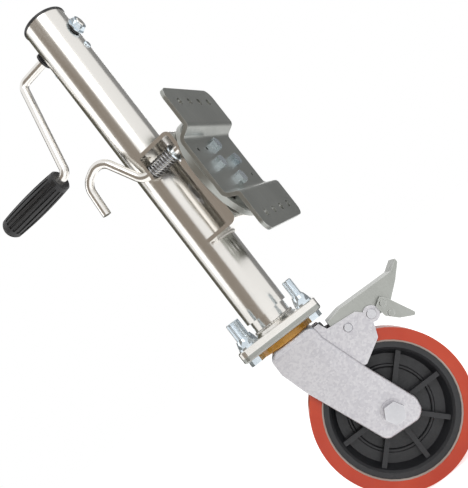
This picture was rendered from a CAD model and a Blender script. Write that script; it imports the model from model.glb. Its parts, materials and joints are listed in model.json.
"""Looks of a side-wind trailer jack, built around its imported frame."""

from __future__ import annotations

import json
import logging
import math
from dataclasses import dataclass
from enum import Enum

import bmesh
import bpy
from mathutils import Matrix, Vector

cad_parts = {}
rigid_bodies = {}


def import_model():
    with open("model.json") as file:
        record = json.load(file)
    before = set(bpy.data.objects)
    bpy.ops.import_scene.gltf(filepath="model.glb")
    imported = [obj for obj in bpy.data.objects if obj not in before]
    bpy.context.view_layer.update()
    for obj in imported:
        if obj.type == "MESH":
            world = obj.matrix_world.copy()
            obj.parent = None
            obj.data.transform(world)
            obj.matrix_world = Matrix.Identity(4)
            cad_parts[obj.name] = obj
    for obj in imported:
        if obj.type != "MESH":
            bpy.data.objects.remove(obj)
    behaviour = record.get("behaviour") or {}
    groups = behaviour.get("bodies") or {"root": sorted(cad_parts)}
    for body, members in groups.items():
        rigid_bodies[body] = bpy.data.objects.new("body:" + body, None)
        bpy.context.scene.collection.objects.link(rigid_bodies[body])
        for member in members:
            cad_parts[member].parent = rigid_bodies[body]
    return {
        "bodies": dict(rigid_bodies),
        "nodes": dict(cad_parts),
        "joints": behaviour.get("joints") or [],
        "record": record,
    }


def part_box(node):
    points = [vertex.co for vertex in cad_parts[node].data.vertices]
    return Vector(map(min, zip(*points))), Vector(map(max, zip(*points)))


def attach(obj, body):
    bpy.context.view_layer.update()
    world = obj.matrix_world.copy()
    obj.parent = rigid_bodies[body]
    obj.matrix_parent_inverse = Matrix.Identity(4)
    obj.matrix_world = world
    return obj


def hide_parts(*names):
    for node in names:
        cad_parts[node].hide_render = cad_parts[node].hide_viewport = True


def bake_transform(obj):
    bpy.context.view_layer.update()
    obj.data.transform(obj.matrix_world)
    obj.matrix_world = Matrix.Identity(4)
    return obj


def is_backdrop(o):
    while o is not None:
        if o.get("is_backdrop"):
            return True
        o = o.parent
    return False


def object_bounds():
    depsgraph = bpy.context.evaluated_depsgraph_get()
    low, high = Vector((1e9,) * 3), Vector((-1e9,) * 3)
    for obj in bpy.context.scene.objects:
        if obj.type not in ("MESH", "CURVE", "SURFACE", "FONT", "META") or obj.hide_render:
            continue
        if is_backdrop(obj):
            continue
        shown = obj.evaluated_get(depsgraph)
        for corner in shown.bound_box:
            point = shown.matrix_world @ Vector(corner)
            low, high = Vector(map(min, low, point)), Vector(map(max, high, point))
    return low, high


log = logging.getLogger("trailer_jack")
MM = 0.001
UP = Vector((0, 0, 1))
MERGE = 1e-6  # vertices nearer than this, in metres, become one
SECTION_SIDES = 10  # sides of the section of a wire or bead
COIL_STEPS = 28  # steps in one turn of a coil
RIPPLE_STEPS = 4  # steps in one ripple of a bead
UPRIGHT = 0.9  # an axis whose lean from +Z has a larger cosine counts as upright
LEAST_STEPS = 48  # the fewest steps along a bead
RIPPLE_SWELL = 0.16  # how much a ripple thickens and thins its bead
NOISE_LOW = 0.3  # the noise value that starts a range
NOISE_HIGH = 0.7  # the noise value that ends it
CELL_SHARE = 0.5  # how much of the zinc's shade comes from its crystals
BUMP_DISTANCE = 0.4 * MM
MIX_FIRST = 6  # the colour sockets of a Mix node
MIX_SECOND = 7
MIX_RESULT = 2


class Relief(Enum):
    """What shades the patches of a finish."""

    GRAIN = "grain"
    SPANGLE = "spangle"


# ---------------------------------------------------------------- shader groups


class ShaderGroup:
    """A node group with named sockets, built once."""

    def __init__(self, name: str) -> None:
        """Start an empty group.

        Args:
            name: The group's name.
        """
        self.tree = bpy.data.node_groups.new(name, "ShaderNodeTree")
        self.inputs = self.tree.nodes.new("NodeGroupInput")
        self.outputs = self.tree.nodes.new("NodeGroupOutput")

    def socket(self, name: str, way: str, kind: str = "NodeSocketFloat", value: float | None = None) -> None:
        """Add one named socket.

        Args:
            name: The socket's name.
            way: INPUT or OUTPUT.
            kind: Blender's socket type.
            value: The default of a float input.
        """
        made = self.tree.interface.new_socket(name, in_out=way, socket_type=kind)
        if value is not None:
            made.default_value = value

    def add(self, kind: str, **settings: object) -> bpy.types.Node:
        """Add a node.

        Args:
            kind: The node's type.
            settings: Attributes set on the node.

        Returns:
            The new node.
        """
        node = self.tree.nodes.new(kind)
        for key, value in settings.items():
            setattr(node, key, value)
        return node

    def link(self, source: bpy.types.NodeSocket, target: bpy.types.NodeSocket) -> None:
        """Join two sockets."""
        self.tree.links.new(source, target)


def grain_group() -> bpy.types.NodeTree:
    """Build the group of stretched noise that draws grain, blotches and a fine height.

    Returns:
        The group's tree.
    """
    group = ShaderGroup("Surface grain")
    group.socket("Vector", "INPUT", "NodeSocketVector")
    group.socket("Scale", "INPUT", value=60.0)
    group.socket("Blotch scale", "INPUT", value=14.0)
    group.socket("Height", "OUTPUT")
    group.socket("Blotch", "OUTPUT")
    fine = group.add("ShaderNodeTexNoise")
    fine.inputs["Detail"].default_value = 6.0
    fine.inputs["Roughness"].default_value = 0.65
    blotch = group.add("ShaderNodeTexNoise")
    blotch.inputs["Detail"].default_value = 3.0
    group.link(group.inputs.outputs["Vector"], fine.inputs["Vector"])
    group.link(group.inputs.outputs["Vector"], blotch.inputs["Vector"])
    group.link(group.inputs.outputs["Scale"], fine.inputs["Scale"])
    group.link(group.inputs.outputs["Blotch scale"], blotch.inputs["Scale"])
    group.link(fine.outputs["Fac"], group.outputs.inputs["Height"])
    group.link(blotch.outputs["Fac"], group.outputs.inputs["Blotch"])
    return group.tree


def spangle_group() -> bpy.types.NodeTree:
    """Build the group of crystal cells seen on hot-dipped zinc.

    Returns:
        The group's tree.
    """
    group = ShaderGroup("Zinc spangle")
    group.socket("Vector", "INPUT", "NodeSocketVector")
    group.socket("Scale", "INPUT", value=420.0)
    group.socket("Shade", "OUTPUT")
    cells = group.add("ShaderNodeTexVoronoi")
    cells.inputs["Randomness"].default_value = 1.0
    shade = group.add("ShaderNodeSeparateColor")
    group.link(group.inputs.outputs["Vector"], cells.inputs["Vector"])
    group.link(group.inputs.outputs["Scale"], cells.inputs["Scale"])
    group.link(cells.outputs["Color"], shade.inputs["Color"])
    group.link(shade.outputs["Red"], group.outputs.inputs["Shade"])
    return group.tree


def edge_group() -> bpy.types.NodeTree:
    """Build the group that finds worn edges by how far a rounded normal leans away.

    Returns:
        The group's tree.
    """
    group = ShaderGroup("Edge wear")
    group.socket("Vector", "INPUT", "NodeSocketVector")
    group.socket("Width", "INPUT", value=0.0015)
    group.socket("Wear", "OUTPUT")
    rounded = group.add("ShaderNodeBevel", samples=4)
    true_normal = group.add("ShaderNodeNewGeometry")
    lean = group.add("ShaderNodeVectorMath", operation="DOT_PRODUCT")
    breakup = group.add("ShaderNodeTexNoise")
    breakup.inputs["Scale"].default_value = 120.0
    edge = group.add("ShaderNodeMapRange")
    edge.inputs["From Min"].default_value = 0.995
    edge.inputs["From Max"].default_value = 0.86
    wear = group.add("ShaderNodeMath", operation="MULTIPLY")
    group.link(group.inputs.outputs["Width"], rounded.inputs["Radius"])
    group.link(rounded.outputs["Normal"], lean.inputs[0])
    group.link(true_normal.outputs["Normal"], lean.inputs[1])
    group.link(lean.outputs["Value"], edge.inputs["Value"])
    group.link(group.inputs.outputs["Vector"], breakup.inputs["Vector"])
    group.link(edge.outputs["Result"], wear.inputs[0])
    group.link(breakup.outputs["Fac"], wear.inputs[1])
    group.link(wear.outputs["Value"], group.outputs.inputs["Wear"])
    return group.tree


# ---------------------------------------------------------------- finishes


def spread(
    tree: bpy.types.NodeTree, value: bpy.types.NodeSocket, low: float = 0.0, high: float = 1.0
) -> bpy.types.NodeSocket:
    """Stretch the middle of a noise over a range.

    Args:
        tree: The node tree.
        value: The noise.
        low: The range's start.
        high: The range's end.

    Returns:
        The stretched value.
    """
    node = tree.nodes.new("ShaderNodeMapRange")
    node.inputs["From Min"].default_value = NOISE_LOW
    node.inputs["From Max"].default_value = NOISE_HIGH
    node.inputs["To Min"].default_value = low
    node.inputs["To Max"].default_value = high
    tree.links.new(value, node.inputs["Value"])
    return node.outputs["Result"]


def mix_colours(
    tree: bpy.types.NodeTree,
    share: bpy.types.NodeSocket,
    first: bpy.types.NodeSocket | tuple[float, float, float],
    second: tuple[float, float, float],
) -> bpy.types.NodeSocket:
    """Mix two colours.

    Args:
        tree: The node tree.
        share: How much of the second colour shows.
        first: A colour, or a socket that gives one.
        second: The other colour.

    Returns:
        The mixed colour.
    """
    node = tree.nodes.new("ShaderNodeMix")
    node.data_type = "RGBA"
    tree.links.new(share, node.inputs["Factor"])
    if isinstance(first, bpy.types.NodeSocket):
        tree.links.new(first, node.inputs[MIX_FIRST])
    else:
        node.inputs[MIX_FIRST].default_value = (*first, 1.0)
    node.inputs[MIX_SECOND].default_value = (*second, 1.0)
    return node.outputs[MIX_RESULT]


def spangle_shade(
    tree: bpy.types.NodeTree,
    place: bpy.types.NodeSocket,
    group: bpy.types.NodeTree,
    blotch: bpy.types.NodeSocket,
) -> bpy.types.NodeSocket:
    """Add the crystals of hot-dipped zinc to a blotch.

    Args:
        tree: The node tree.
        place: The coordinates.
        group: The spangle group.
        blotch: The blotch.

    Returns:
        The shade of both.
    """
    cells = tree.nodes.new("ShaderNodeGroup")
    cells.node_tree = group
    tree.links.new(place, cells.inputs["Vector"])
    faded = tree.nodes.new("ShaderNodeMath")
    faded.operation = "MULTIPLY"
    faded.inputs[1].default_value = 1 - CELL_SHARE
    tree.links.new(blotch, faded.inputs[0])
    both = tree.nodes.new("ShaderNodeMath")
    both.operation = "MULTIPLY_ADD"
    both.inputs[1].default_value = CELL_SHARE
    tree.links.new(cells.outputs["Shade"], both.inputs[0])
    tree.links.new(faded.outputs["Value"], both.inputs[2])
    return both.outputs["Value"]


@dataclass(frozen=True)
class Finish:
    """One finish of the jack.

    Attributes:
        slot: The record's material slot.
        light: The colour of its bright patches.
        dark: The colour of its dull patches.
        metallic: Metal share.
        rough: Lowest and highest roughness.
        relief: What shades its patches.
        grain: Grain scale across the piece.
        stretch: How much the grain is drawn out along each axis.
        bump: Strength of the relief.
        wear: Colour shown on worn edges.
        coat: Clear coat weight.
    """

    slot: str
    light: tuple[float, float, float]
    dark: tuple[float, float, float]
    metallic: float
    rough: tuple[float, float]
    relief: Relief = Relief.GRAIN
    grain: float = 60.0
    stretch: tuple[float, float, float] = (1.0, 1.0, 1.0)
    bump: float = 0.1
    wear: tuple[float, float, float] = (0.8, 0.8, 0.8)
    coat: float = 0.0

    def build(self, groups: dict[str, bpy.types.NodeTree]) -> bpy.types.Material:
        """Make the node material.

        Args:
            groups: The shared node groups by name.

        Returns:
            The finished material.
        """
        material = bpy.data.materials.new(self.slot)
        material.use_nodes = True
        tree = material.node_tree
        shader = tree.nodes["Principled BSDF"]
        shader.inputs["Metallic"].default_value = self.metallic
        shader.inputs["Coat Weight"].default_value = self.coat
        place = tree.nodes.new("ShaderNodeTexCoord").outputs["Object"]
        grain = self.grain_node(tree, place, groups["grain"])
        shade = grain.outputs["Blotch"]
        if self.relief is Relief.SPANGLE:
            shade = spangle_shade(tree, place, groups["spangle"], shade)
        colour = mix_colours(tree, spread(tree, shade), self.dark, self.light)
        edges = tree.nodes.new("ShaderNodeGroup")
        edges.node_tree = groups["edge"]
        tree.links.new(place, edges.inputs["Vector"])
        worn = mix_colours(tree, edges.outputs["Wear"], colour, self.wear)
        tree.links.new(worn, shader.inputs["Base Color"])
        height = grain.outputs["Height"]
        tree.links.new(spread(tree, height, *self.rough), shader.inputs["Roughness"])
        bump = tree.nodes.new("ShaderNodeBump")
        bump.inputs["Strength"].default_value = self.bump
        bump.inputs["Distance"].default_value = BUMP_DISTANCE
        tree.links.new(height, bump.inputs["Height"])
        tree.links.new(bump.outputs["Normal"], shader.inputs["Normal"])
        return material

    def grain_node(
        self, tree: bpy.types.NodeTree, place: bpy.types.NodeSocket, group: bpy.types.NodeTree
    ) -> bpy.types.Node:
        """Add the finish's grain, drawn out along its axes.

        Args:
            tree: The material's node tree.
            place: The coordinates.
            group: The grain group.

        Returns:
            The group's node.
        """
        mapping = tree.nodes.new("ShaderNodeMapping")
        mapping.inputs["Scale"].default_value = self.stretch
        tree.links.new(place, mapping.inputs["Vector"])
        grain = tree.nodes.new("ShaderNodeGroup")
        grain.node_tree = group
        grain.inputs["Scale"].default_value = self.grain
        tree.links.new(mapping.outputs["Vector"], grain.inputs["Vector"])
        return grain


FINISHES = (
    Finish(
        "bright_zinc",
        light=(0.84, 0.82, 0.79),
        dark=(0.76, 0.74, 0.70),
        metallic=1.0,
        rough=(0.16, 0.26),
        grain=240.0,
        stretch=(1, 1, 0.04),
        bump=0.05,
        wear=(0.9, 0.9, 0.88),
    ),
    Finish(
        "satin_zinc",
        light=(0.40, 0.41, 0.385),
        dark=(0.33, 0.34, 0.32),
        metallic=0.95,
        rough=(0.28, 0.42),
        grain=180.0,
        stretch=(1, 1, 0.3),
        bump=0.08,
        wear=(0.85, 0.86, 0.84),
    ),
    Finish(
        "blue_zinc",
        light=(0.72, 0.79, 0.84),
        dark=(0.52, 0.60, 0.66),
        metallic=1.0,
        rough=(0.18, 0.32),
        grain=300.0,
        bump=0.08,
        wear=(0.9, 0.94, 0.97),
    ),
    Finish(
        "galvanised",
        light=(0.66, 0.65, 0.67),
        dark=(0.56, 0.55, 0.58),
        metallic=0.85,
        rough=(0.36, 0.55),
        relief=Relief.SPANGLE,
        grain=220.0,
        bump=0.15,
        wear=(0.86, 0.86, 0.88),
    ),
    Finish(
        "dull_steel",
        light=(0.62, 0.62, 0.64),
        dark=(0.48, 0.48, 0.50),
        metallic=1.0,
        rough=(0.25, 0.40),
        grain=260.0,
        bump=0.08,
        wear=(0.8, 0.8, 0.82),
    ),
    Finish(
        "spring_steel",
        light=(0.42, 0.42, 0.43),
        dark=(0.25, 0.25, 0.26),
        metallic=1.0,
        rough=(0.15, 0.28),
        grain=300.0,
        bump=0.05,
        wear=(0.7, 0.7, 0.7),
    ),
    Finish(
        "black_plastic",
        light=(0.022, 0.022, 0.024),
        dark=(0.012, 0.012, 0.013),
        metallic=0.0,
        rough=(0.30, 0.45),
        grain=500.0,
        bump=0.12,
        wear=(0.07, 0.07, 0.07),
    ),
    Finish(
        "brake_black",
        light=(0.02, 0.02, 0.02),
        dark=(0.01, 0.01, 0.01),
        metallic=0.0,
        rough=(0.5, 0.7),
        grain=300.0,
        bump=0.3,
        wear=(0.05, 0.05, 0.05),
    ),
    Finish(
        "cast_core",
        light=(0.022, 0.023, 0.026),
        dark=(0.010, 0.010, 0.012),
        metallic=0.0,
        rough=(0.38, 0.60),
        grain=420.0,
        bump=0.8,
        wear=(0.06, 0.06, 0.065),
        coat=0.15,
    ),
    Finish(
        "orange_tread",
        light=(0.80, 0.070, 0.012),
        dark=(0.66, 0.045, 0.008),
        metallic=0.0,
        rough=(0.32, 0.45),
        grain=90.0,
        bump=0.08,
        wear=(0.95, 0.2, 0.05),
        coat=0.3,
    ),
    Finish(
        "gold_seal",
        light=(0.82, 0.40, 0.05),
        dark=(0.66, 0.28, 0.03),
        metallic=0.0,
        rough=(0.25, 0.4),
        grain=200.0,
        bump=0.1,
        wear=(0.9, 0.5, 0.12),
        coat=0.3,
    ),
    Finish(
        "weld",
        light=(0.58, 0.57, 0.54),
        dark=(0.40, 0.38, 0.35),
        metallic=1.0,
        rough=(0.28, 0.45),
        grain=350.0,
        bump=0.3,
    ),
    Finish(
        "rim_band",
        light=(0.62, 0.52, 0.46),
        dark=(0.45, 0.34, 0.28),
        metallic=0.0,
        rough=(0.4, 0.6),
        grain=200.0,
    ),
)


class FinishBook:
    """Every finish, built once and handed out by name."""

    def __init__(self) -> None:
        """Build the shared groups and all finishes."""
        groups = {"grain": grain_group(), "spangle": spangle_group(), "edge": edge_group()}
        self.materials = {finish.slot: finish.build(groups) for finish in FINISHES}

    def dress(self, piece: bpy.types.Object, name: str) -> None:
        """Give a piece a finish.

        Args:
            piece: The object.
            name: The finish.
        """
        if not piece.material_slots:
            piece.data.materials.append(None)
        for slot in piece.material_slots:
            slot.material = self.materials[name]


# ---------------------------------------------------------------- meshes


def profile_ring(mesh: bmesh.types.BMesh, radius: float, sides: int, matrix: Matrix) -> list[object]:
    """Add a circle used as a section.

    Args:
        mesh: The bmesh.
        radius: The section's radius.
        sides: Its number of sides.
        matrix: Its place.

    Returns:
        The circle's vertices and edges.
    """
    made = bmesh.ops.create_circle(mesh, segments=sides, radius=radius, matrix=matrix)
    edges = {edge for vertex in made["verts"] for edge in vertex.link_edges}
    return [*made["verts"], *edges]


def finish_piece(mesh: bmesh.types.BMesh, name: str, smooth: bool = True) -> bpy.types.Object:
    """Turn a bmesh into an object of the scene.

    Args:
        mesh: The bmesh, which is freed.
        name: The piece's name.
        smooth: Whether its faces are shaded smooth.

    Returns:
        The new object.
    """
    bmesh.ops.remove_doubles(mesh, verts=mesh.verts, dist=MERGE)
    bmesh.ops.recalc_face_normals(mesh, faces=mesh.faces)
    data = bpy.data.meshes.new(name)
    mesh.to_mesh(data)
    mesh.free()
    for polygon in data.polygons:
        polygon.use_smooth = smooth
    piece = bpy.data.objects.new(name, data)
    bpy.context.scene.collection.objects.link(piece)
    return piece


def coil(
    name: str, start: Vector, axis: Vector, length: float, radius: float, wire: float, turns: float
) -> bpy.types.Object:
    """Wind a closed wire coil.

    Args:
        name: The piece's name.
        start: The middle of the coil's first end.
        axis: The way it winds.
        length: Its length between the first and last wire.
        radius: Its mean radius.
        wire: The wire's radius.
        turns: Its number of turns.

    Returns:
        The coil.
    """
    mesh = bmesh.new()
    out = axis.orthogonal().normalized()
    side = axis.cross(out)
    frame = Matrix((out, axis, side)).transposed().to_4x4()
    frame.translation = start + out * radius
    section = profile_ring(mesh, wire, SECTION_SIDES, frame)
    steps = int(COIL_STEPS * turns)
    rise = axis * (length / steps)
    sweep = math.tau * turns
    bmesh.ops.spin(mesh, geom=section, cent=start, axis=axis, dvec=rise, angle=sweep, steps=steps)
    bmesh.ops.holes_fill(mesh, edges=[edge for edge in mesh.edges if edge.is_boundary])
    return finish_piece(mesh, name)


def bead_ring(
    name: str,
    middle: Vector,
    axis: Vector,
    radius: float,
    bead: float,
    ripples: int = 0,
    sweep: float = math.tau,
    begin: float = 0.0,
) -> bpy.types.Object:
    """Lay a bead round an axis, rippled or plain.

    Args:
        name: The piece's name.
        middle: The ring's middle.
        axis: Its axis.
        radius: The ring's radius.
        bead: The bead's own radius.
        ripples: Number of ripples along it.
        sweep: The angle that it covers.
        begin: The angle at which it starts, from +X, where the axis is upright.

    Returns:
        The bead.
    """
    mesh = bmesh.new()
    upright = abs(axis.dot(UP)) > UPRIGHT
    out = Vector((math.cos(begin), math.sin(begin), 0)) if upright else axis.orthogonal().normalized()
    side = axis.cross(out)
    frame = Matrix((out, axis, side)).transposed().to_4x4()
    frame.translation = middle + out * radius
    section = profile_ring(mesh, bead, SECTION_SIDES, frame)
    closed = sweep >= math.tau
    steps = max(LEAST_STEPS, ripples * RIPPLE_STEPS)
    bmesh.ops.spin(mesh, geom=section, cent=middle, axis=axis, angle=sweep, steps=steps, use_merge=closed)
    if not closed:
        bmesh.ops.holes_fill(mesh, edges=[edge for edge in mesh.edges if edge.is_boundary])
    for vertex in mesh.verts:
        arm = vertex.co - middle
        arm -= axis * arm.dot(axis)
        angle = math.atan2(arm.dot(side), arm.dot(out))
        core = middle + arm.normalized() * radius
        swell = 1 + RIPPLE_SWELL * math.sin(angle * ripples)
        vertex.co = core + (vertex.co - core) * swell
    return finish_piece(mesh, name)


# ---------------------------------------------------------------- sub-assemblies


def box_middle(low: tuple[float, float, float], high: tuple[float, float, float]) -> Vector:
    """Find the middle of a box.

    Args:
        low: The box's lowest corner.
        high: Its highest corner.

    Returns:
        The middle.
    """
    return (Vector(low) + Vector(high)) / 2


@dataclass
class PullPin:
    """The spring of the bracket's pull pin.

    Attributes:
        finishes: The finishes.
        turns: The spring's number of turns.
        wire: The wire's radius.
        seat: From the spring's end to the middle of its first wire, in wire radii.
    """

    finishes: FinishBook
    turns: float = 8.0
    wire: float = 1.15 * MM
    seat: float = 0.3

    def build(self) -> None:
        """Wind the spring between the bracket's tab and the pin's washer."""
        low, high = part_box("pin_spring")
        middle = box_middle(low, high)
        radius = (high[1] - low[1]) / 2 - self.wire
        start = Vector((low[0] + self.wire * self.seat, middle.y, middle.z))
        length = high[0] - low[0] - self.wire * 2
        spring = coil("pull_spring", start, Vector((1, 0, 0)), length, radius, self.wire, self.turns)
        self.finishes.dress(spring, "spring_steel")
        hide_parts("pin_spring")
        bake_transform(spring)
        log.info("pull_spring: %d faces", len(spring.data.polygons))


@dataclass
class Welds:
    """The weld beads of the bracket and the foot.

    Attributes:
        finishes: The finishes.
        bead: The radius of the bracket's beads.
        lift: From the bracket's ends to the middle of a bead.
        channel_depth: From the bracket's outermost face to its edge on the tube.
        end_gap: The angle by which a bracket bead stops short of that edge.
        bracket_ripples: Ripples on a bracket bead.
        foot_bead: The radius of the foot's bead, as a share of the bracket's.
        foot_gap: From the leg's wall to the middle of the foot's bead.
        foot_ripples: Ripples on the foot's bead.
    """

    finishes: FinishBook
    bead: float = 2.2 * MM
    lift: float = 0.3 * MM
    channel_depth: float = 49 * MM
    end_gap: float = 0.1
    bracket_ripples: int = 60
    foot_bead: float = 0.8
    foot_gap: float = 0.6 * MM
    foot_ripples: int = 48

    def build(self) -> None:
        """Lay a bead on the bracket's upper and lower ends, and one round the leg on the foot."""
        tube_low, tube_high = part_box("outer_tube")
        middle = box_middle(tube_low, tube_high)
        radius = (tube_high[1] - tube_low[1]) / 2
        low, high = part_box("swivel_bracket")
        edge = high[0] - self.channel_depth - middle.x
        reach = math.acos(min(1.0, edge / radius)) - self.end_gap
        for label, z in (("upper", high[2] + self.lift), ("lower", low[2] - self.lift)):
            name = f"bracket_weld_{label}"
            place = Vector((middle.x, middle.y, z))
            bead = bead_ring(name, place, UP, radius, self.bead, self.bracket_ripples, reach * 2, -reach)
            self.dress(bead, "jack")
        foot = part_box("foot_plate")
        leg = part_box("inner_tube")
        place = Vector((middle.x, middle.y, foot[1][2]))
        leg_radius = (leg[1][1] - leg[0][1]) / 2 + self.foot_gap
        bead = bead_ring("foot_weld", place, UP, leg_radius, self.bead * self.foot_bead, self.foot_ripples)
        self.dress(bead, "leg")

    def dress(self, bead: bpy.types.Object, body: str) -> None:
        """Finish one bead.

        Args:
            bead: The bead.
            body: The body that it rides on.
        """
        self.finishes.dress(bead, "weld")
        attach(bead, body)
        log.info("%s: %d faces", bead.name, len(bead.data.polygons))


@dataclass
class BoltThreads:
    """The thread that shows on the foot's standing bolts.

    Attributes:
        finishes: The finishes.
        radius: The bolts' radius.
        pitch: The thread's pitch.
        depth: The radius of the thread's ridge.
        half_along: Half the bolts' spacing at right angles to the axle.
        half_across: Half their spacing along the axle.
        nut_gap: From the nuts' tops to the thread's start.
        tip_gap: From the bolts' tips to the thread's end.
    """

    finishes: FinishBook
    radius: float = 6 * MM
    pitch: float = 1.75 * MM
    depth: float = 0.55 * MM
    half_along: float = 43 * MM
    half_across: float = 37 * MM
    nut_gap: float = 0.6 * MM
    tip_gap: float = 0.8 * MM

    def build(self, post: Vector, axle: Vector) -> None:
        """Wind a thread on each bolt.

        Args:
            post: A point on the jack's tube.
            axle: The axle's direction at rest, which the bolts' pattern follows.
        """
        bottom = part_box("flange_nuts")[1][2] + self.nut_gap
        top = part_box("flange_bolts")[1][2] - self.tip_gap
        length = top - bottom - self.pitch
        turns = length / self.pitch
        along = axle.cross(UP)
        spots = [
            along * (x * self.half_along) + axle * (y * self.half_across) for x in (-1, 1) for y in (-1, 1)
        ]
        for number, spot in enumerate(spots, 1):
            start = Vector((post.x + spot.x, post.y + spot.y, bottom))
            thread = coil(f"bolt_thread_{number}", start, UP, length, self.radius, self.depth, turns)
            self.finishes.dress(thread, "blue_zinc")
            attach(thread, "leg")
            log.info("%s: %d faces", thread.name, len(thread.data.polygons))


@dataclass
class WheelTrim:
    """The light rings where the tread is bonded to the core, and the ridges between the ribs.

    Attributes:
        finishes: The finishes.
        radius: The core's radius.
        half: From the wheel's middle to the core's face.
        band: The bond ring's own radius.
        ridge_radius: The ridge's place, as a share of the core's radius.
        ridge_half: From the wheel's middle to the ridge's middle.
        ridge: The ridge's own radius.
    """

    finishes: FinishBook
    radius: float = 84 * MM
    half: float = 23.6 * MM
    band: float = 1.3 * MM
    ridge_radius: float = 0.62
    ridge_half: float = 7.2 * MM
    ridge: float = 2.6 * MM

    def build(self, axis: Vector, middle: Vector) -> None:
        """Lay a bond ring and a ridge on each side of the wheel.

        Args:
            axis: The axle's direction.
            middle: The wheel's middle.
        """
        for label, side in (("near", -1), ("far", 1)):
            place = middle + axis * (side * self.half)
            ring = bead_ring(f"bond_ring_{label}", place, axis, self.radius, self.band)
            self.finishes.dress(ring, "rim_band")
            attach(ring, "wheel")
            log.info("%s: %d faces", ring.name, len(ring.data.polygons))
            place = middle + axis * (side * self.ridge_half)
            ridge = bead_ring(f"core_ridge_{label}", place, axis, self.radius * self.ridge_radius, self.ridge)
            self.finishes.dress(ridge, "cast_core")
            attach(ridge, "wheel")
            log.info("%s: %d faces", ridge.name, len(ridge.data.polygons))


# ---------------------------------------------------------------- studio


@dataclass(frozen=True)
class Lamp:
    """An area lamp.

    Attributes:
        name: The lamp's name.
        spot: Its place.
        size: Its side.
        power: Its power in watts.
    """

    name: str
    spot: tuple[float, float, float]
    size: float
    power: float


@dataclass(frozen=True)
class Card:
    """An upright card that only reflections show.

    Attributes:
        name: The card's name.
        angle: Its place round the jack, in degrees from -Y.
        shade: Its colour.
    """

    name: str
    angle: float
    shade: tuple[float, float, float]


LAMPS = (
    Lamp("key", (0.9, -1.6, 1.3), 1.2, 11.0),
    Lamp("fill", (-1.6, -1.0, 0.6), 1.4, 5.0),
    Lamp("back", (0.2, 1.8, 0.9), 1.2, 6.0),
)
CARDS = (
    Card("card_warm", -20, (0.30, 0.26, 0.22)),
    Card("card_olive", -125, (0.10, 0.095, 0.07)),
    Card("card_grey", 155, (0.26, 0.26, 0.26)),
)


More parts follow.
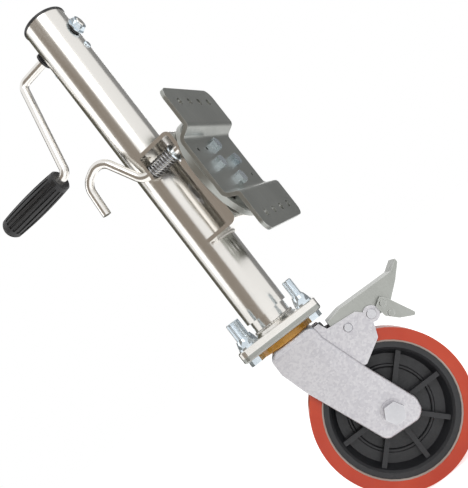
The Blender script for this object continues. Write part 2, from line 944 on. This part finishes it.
@dataclass
class Studio:
    """Floor, lamps, cards, world and camera.

    Attributes:
        distance: From the camera to the tube, level with the ground.
        azimuth: The camera's place round the tube, in degrees.
        eye_height: The camera's height.
        look_right: How far right it looks, as a slope.
        look_up: How far up it looks, as a slope.
        roll: Its roll in degrees.
        focal_ratio: Its focal length, in sensor heights.
        sensor: The sensor's height in millimetres.
        clip: The nearest distance that it shows.
        ambient: The strength of the world's light.
        floor_glow: The strength of the floor's own light where it is seen.
        floor_half: Half the floor's side.
        floor_gap: From the jack's lowest point to the floor.
        aim_height: The height that lamps and cards face.
        card_distance: From the tube to a card.
        card_width: A card's width.
        card_height: A card's height.
    """

    distance: float = 0.924
    azimuth: float = 23.2
    eye_height: float = -0.1623
    look_right: float = 0.0217
    look_up: float = 0.0849
    roll: float = 37.62
    focal_ratio: float = 1.488
    sensor: float = 24.0
    clip: float = 0.01
    ambient: float = 0.42
    floor_glow: float = 0.72
    floor_half: float = 6.0
    floor_gap: float = 0.5 * MM
    aim_height: float = -0.05
    card_distance: float = 1.35
    card_width: float = 1.5
    card_height: float = 2.4

    def build(self, post: Vector, ground: float) -> None:
        """Set up the whole studio.

        Args:
            post: A point on the jack's tube.
            ground: The height of the jack's lowest point.
        """
        self.camera(post)
        self.world()
        self.floor(ground - self.floor_gap, post)
        aim = Vector((post.x, post.y, self.aim_height))
        for lamp in LAMPS:
            self.lamp(lamp, aim)
        for card in CARDS:
            self.card(card, aim)

    def camera(self, post: Vector) -> None:
        """Place the camera.

        Args:
            post: A point on the jack's tube.
        """
        turn = math.radians(self.azimuth)
        right = Vector((math.cos(turn), math.sin(turn), 0))
        ahead = Vector((-math.sin(turn), math.cos(turn), 0))
        spot = Vector((post.x, post.y, 0)) - ahead * self.distance
        spot.z = self.eye_height
        look = (ahead + right * self.look_right + UP * self.look_up).normalized()
        level = (right - look * right.dot(look)).normalized()
        rise = level.cross(look)
        lean = math.radians(self.roll)
        image_x = level * math.cos(lean) - rise * math.sin(lean)
        image_y = level * math.sin(lean) + rise * math.cos(lean)
        data = bpy.data.cameras.new("camera")
        data.sensor_fit = "VERTICAL"
        data.sensor_height = self.sensor
        data.lens = self.focal_ratio * self.sensor
        data.clip_start = self.clip
        body = bpy.data.objects.new("camera", data)
        turned = Matrix((image_x, image_y, -look)).transposed().to_4x4()
        body.matrix_world = Matrix.Translation(spot) @ turned
        bpy.context.scene.collection.objects.link(body)
        bpy.context.scene.camera = body

    def world(self) -> None:
        """Light the world softly, and show it white to the camera and in reflections."""
        world = bpy.data.worlds.new("studio")
        bpy.context.scene.world = world
        world.use_nodes = True
        tree = world.node_tree
        light = tree.nodes["Background"]
        light.inputs["Color"].default_value = (1.0, 1.0, 1.0, 1.0)
        light.inputs["Strength"].default_value = self.ambient
        shown = tree.nodes.new("ShaderNodeBackground")
        shown.inputs["Color"].default_value = (1.0, 1.0, 1.0, 1.0)
        shown.inputs["Strength"].default_value = 1.0
        out = tree.nodes["World Output"].inputs["Surface"]
        self.show_white(tree, light.outputs[0], shown.outputs[0], out)

    @staticmethod
    def show_white(
        tree: bpy.types.NodeTree,
        plain: bpy.types.NodeSocket,
        white: bpy.types.NodeSocket,
        out: bpy.types.NodeSocket,
    ) -> None:
        """Mix a plain shader with a white one for camera, glossy and transmission rays.

        Args:
            tree: The node tree.
            plain: The shader that other rays meet.
            white: The white shader.
            out: Where the mix goes.
        """
        path = tree.nodes.new("ShaderNodeLightPath")
        first = tree.nodes.new("ShaderNodeMath")
        first.operation = "MAXIMUM"
        second = tree.nodes.new("ShaderNodeMath")
        second.operation = "MAXIMUM"
        mix = tree.nodes.new("ShaderNodeMixShader")
        tree.links.new(path.outputs["Is Camera Ray"], first.inputs[0])
        tree.links.new(path.outputs["Is Glossy Ray"], first.inputs[1])
        tree.links.new(first.outputs["Value"], second.inputs[0])
        tree.links.new(path.outputs["Is Transmission Ray"], second.inputs[1])
        tree.links.new(second.outputs["Value"], mix.inputs["Fac"])
        tree.links.new(plain, mix.inputs[1])
        tree.links.new(white, mix.inputs[2])
        tree.links.new(mix.outputs["Shader"], out)

    def floor(self, height: float, post: Vector) -> None:
        """Lay the pale floor.

        Args:
            height: The floor's height.
            post: A point over its middle.
        """
        mesh = bmesh.new()
        place = Matrix.Translation((post.x, post.y, height))
        bmesh.ops.create_grid(mesh, x_segments=1, y_segments=1, size=self.floor_half, matrix=place)
        floor = finish_piece(mesh, "floor", smooth=False)
        material = bpy.data.materials.new("floor")
        material.use_nodes = True
        tree = material.node_tree
        shader = tree.nodes["Principled BSDF"]
        shader.inputs["Base Color"].default_value = (0.86, 0.86, 0.86, 1.0)
        shader.inputs["Roughness"].default_value = 0.9
        white = tree.nodes.new("ShaderNodeBsdfDiffuse")
        white.inputs["Color"].default_value = (1.0, 1.0, 1.0, 1.0)
        glow = tree.nodes.new("ShaderNodeEmission")
        glow.inputs["Strength"].default_value = self.floor_glow
        both = tree.nodes.new("ShaderNodeAddShader")
        tree.links.new(white.outputs[0], both.inputs[0])
        tree.links.new(glow.outputs[0], both.inputs[1])
        out = tree.nodes["Material Output"].inputs["Surface"]
        self.show_white(tree, shader.outputs[0], both.outputs[0], out)
        floor.data.materials.append(material)
        floor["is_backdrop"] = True

    @staticmethod
    def lamp(lamp: Lamp, aim: Vector) -> None:
        """Hang an area lamp.

        Args:
            lamp: The lamp.
            aim: The point that it faces.
        """
        data = bpy.data.lights.new(lamp.name, "AREA")
        data.size = lamp.size
        data.energy = lamp.power
        body = bpy.data.objects.new(lamp.name, data)
        body.location = lamp.spot
        body.rotation_euler = (aim - Vector(lamp.spot)).to_track_quat("-Z", "Y").to_euler()
        bpy.context.scene.collection.objects.link(body)

    def card(self, card: Card, aim: Vector) -> None:
        """Stand a card that only reflections show.

        Args:
            card: The card.
            aim: The point that it faces.
        """
        away = Matrix.Rotation(math.radians(card.angle), 3, "Z") @ Vector((0, -self.card_distance, 0))
        spot = Vector((aim.x + away.x, away.y, aim.z))
        turn = (aim - spot).to_track_quat("Z", "Y").to_matrix().to_4x4()
        size = Matrix.Diagonal((self.card_width, self.card_height, 1, 1))
        place = Matrix.Translation(spot) @ turn @ size
        mesh = bmesh.new()
        bmesh.ops.create_grid(mesh, x_segments=1, y_segments=1, size=0.5, matrix=place)
        piece = finish_piece(mesh, card.name, smooth=False)
        material = bpy.data.materials.new(card.name)
        material.use_nodes = True
        glow = material.node_tree.nodes.new("ShaderNodeEmission")
        glow.inputs["Color"].default_value = (*card.shade, 1.0)
        out = material.node_tree.nodes["Material Output"]
        material.node_tree.links.new(glow.outputs["Emission"], out.inputs["Surface"])
        piece.data.materials.append(material)
        piece.visible_camera = False
        piece.visible_shadow = False
        piece.visible_diffuse = False
        piece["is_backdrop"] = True


def main() -> None:
    """Build the jack's looks in order."""
    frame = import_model()
    cad_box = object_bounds()
    record = frame["record"]
    bpy.context.scene.view_settings.view_transform = "Standard"
    finishes = FinishBook()
    for entry in record["subparts"]:
        finishes.dress(frame["nodes"][entry["node"]], entry["material_slot"])
    post = box_middle(*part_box("outer_tube"))
    spin = next(joint for joint in frame["joints"] if joint["name"] == "wheel_spin")
    axle = Vector(spin["axis"]).normalized()
    PullPin(finishes).build()
    Welds(finishes).build()
    BoltThreads(finishes).build(post, axle)
    WheelTrim(finishes).build(axle, Vector(spin["pos_m"]))
    ground = cad_box[0][2]
    Studio().build(post, ground)


if __name__ == "__main__":
    logging.basicConfig(level=logging.INFO)
    main()
